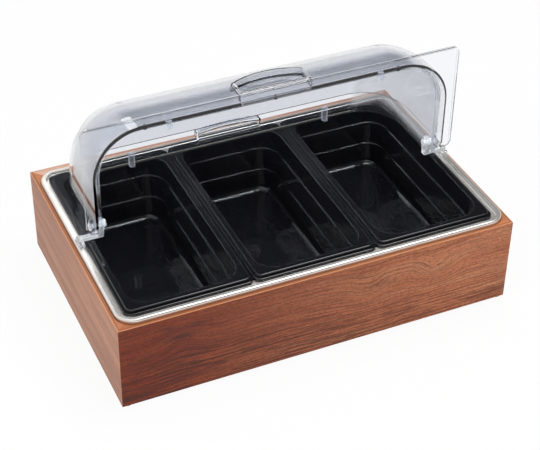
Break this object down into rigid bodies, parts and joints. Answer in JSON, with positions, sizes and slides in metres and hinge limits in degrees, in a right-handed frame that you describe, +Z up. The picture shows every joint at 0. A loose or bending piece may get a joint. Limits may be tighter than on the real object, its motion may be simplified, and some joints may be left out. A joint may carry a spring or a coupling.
{
  "type": "salad bar",
  "caption": "counter-top salad bar: wooden box with a steel tray, black food pans and a clear roll-top cover rolled open",
  "frame": {"origin": "under the middle of the wooden box, on the surface it stands on", "axes": "+X along the length to the right, +Y to the back, +Z up; the cover's front half is rolled open at rest"},
  "size_m": [0.565, 0.37, 0.325],
  "materials": {
    "walnut": "satin oiled walnut veneer",
    "plywood": "plain plywood",
    "stainless_steel": "satin",
    "black_melamine": "gloss black",
    "pack_plastic": "matte",
    "clear_cover": "clear polycarbonate, gloss",
    "clear_fittings": "clear plastic, gloss",
    "screw_steel": "polished",
    "foot_rubber": "matte",
    "bumper_rubber": "matte"
  },
  "bodies": {
    "base": {"front_panel": "walnut", "rear_panel": "walnut", "left_panel": "walnut", "right_panel": "walnut", "base_panel": "plywood", "corner_block_front_left": "plywood", "foot_pad_front_left": "foot_rubber", "corner_block_front_right": "plywood", "foot_pad_front_right": "foot_rubber", "corner_block_rear_left": "plywood", "foot_pad_rear_left": "foot_rubber", "corner_block_rear_right": "plywood", "foot_pad_rear_right": "foot_rubber", "steel_tray": "stainless_steel", "pan_left": "black_melamine", "cold_pack_left": "pack_plastic", "bumper_left": "bumper_rubber", "pan_centre": "black_melamine", "cold_pack_centre": "pack_plastic", "bumper_centre": "bumper_rubber", "pan_right": "black_melamine", "cold_pack_right": "pack_plastic", "bumper_right": "bumper_rubber", "rear_lid": "clear_cover", "rear_locator_left": "clear_cover", "rear_locator_right": "clear_cover", "hinge_bracket_left": "clear_cover", "hinge_bracket_right": "clear_cover", "hinge_pin_left": "clear_fittings", "hinge_pin_right": "clear_fittings", "hinge_knob_left": "clear_fittings", "hinge_knob_right": "clear_fittings", "bracket_screws": "screw_steel"},
    "front_cover": {"front_lid": "clear_cover", "front_stop_left": "clear_cover", "front_stop_right": "clear_cover"}
  },
  "joints": [
    {"name": "cover_hinge", "type": "hinge", "parent": "base", "child": "front_cover", "pos_m": [0, -0.01, 0.163], "axis": [1, 0, 0], "range_deg": [0, 90]}
  ]
}
